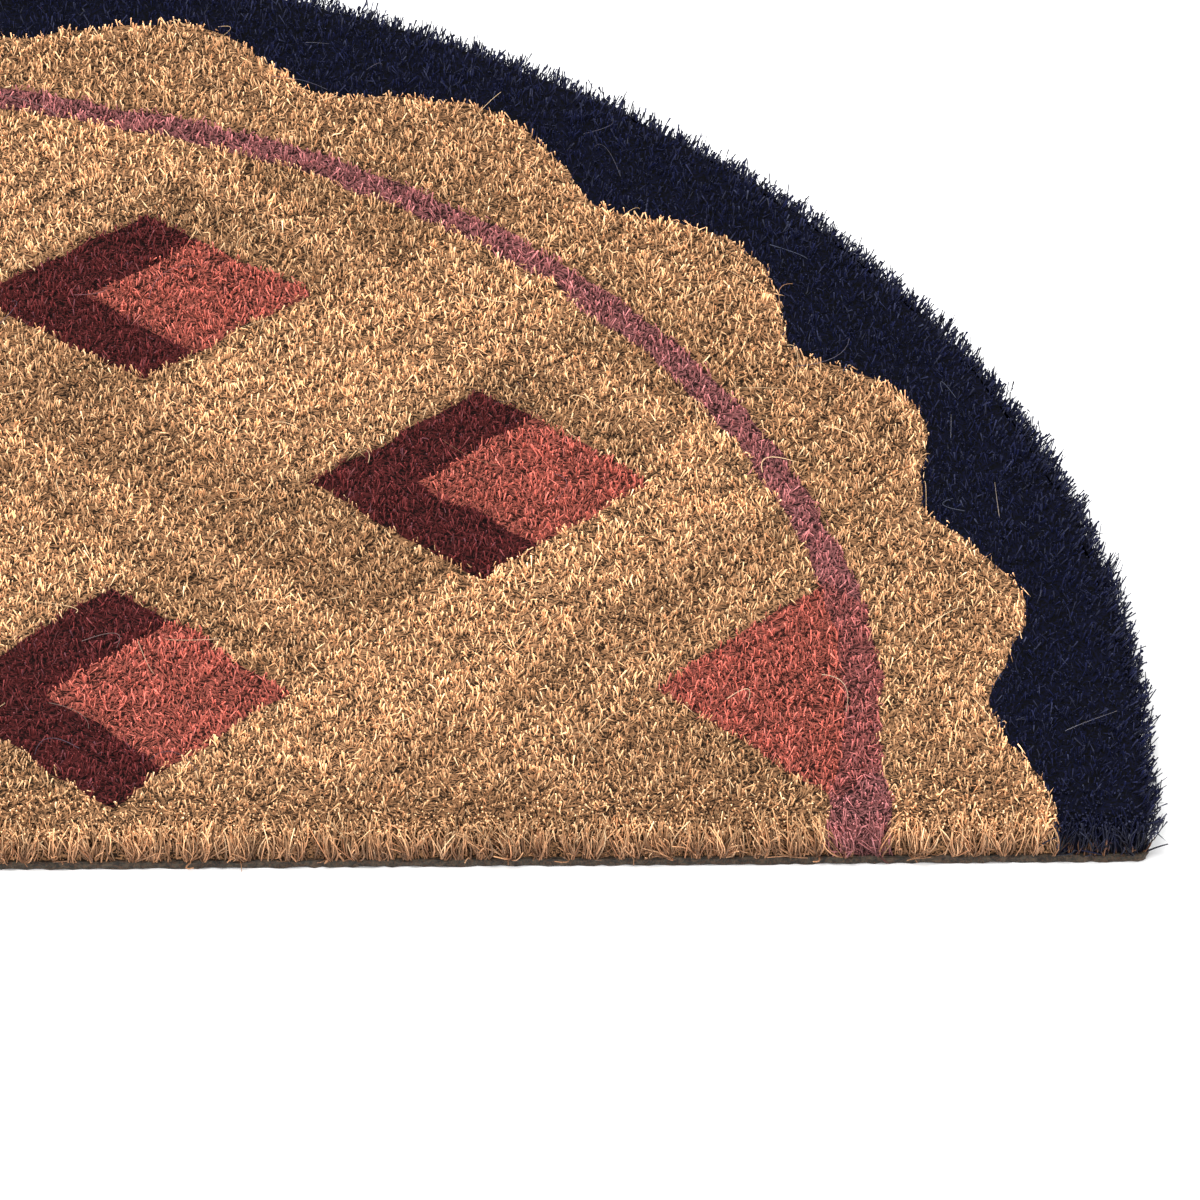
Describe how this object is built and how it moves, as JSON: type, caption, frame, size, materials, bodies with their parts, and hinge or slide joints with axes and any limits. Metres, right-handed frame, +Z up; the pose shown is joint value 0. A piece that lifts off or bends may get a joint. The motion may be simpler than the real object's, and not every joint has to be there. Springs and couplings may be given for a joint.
{
  "type": "half round coir doormat",
  "caption": "Half round doormat of coir pile on a vinyl backing, with printed diamonds, an arc and a dark scalloped border.",
  "frame": {"origin": "on the floor, under the middle of the mat's bounding box", "axes": "+X along the straight front edge, to the right; +Y from the straight edge towards the round edge; +Z up out of the pile"},
  "size_m": [0.7478, 0.4164, 0.0175],
  "materials": {
    "backing_vinyl": "dull dark brown vinyl with fibres caught in it",
    "coir_fibre": "coarse coconut fibre pile, undyed tan with navy, maroon, coral and rose print"
  },
  "bodies": {
    "root": {"backing": "backing_vinyl", "coir_pile": "coir_fibre"}
  },
  "joints": []
}
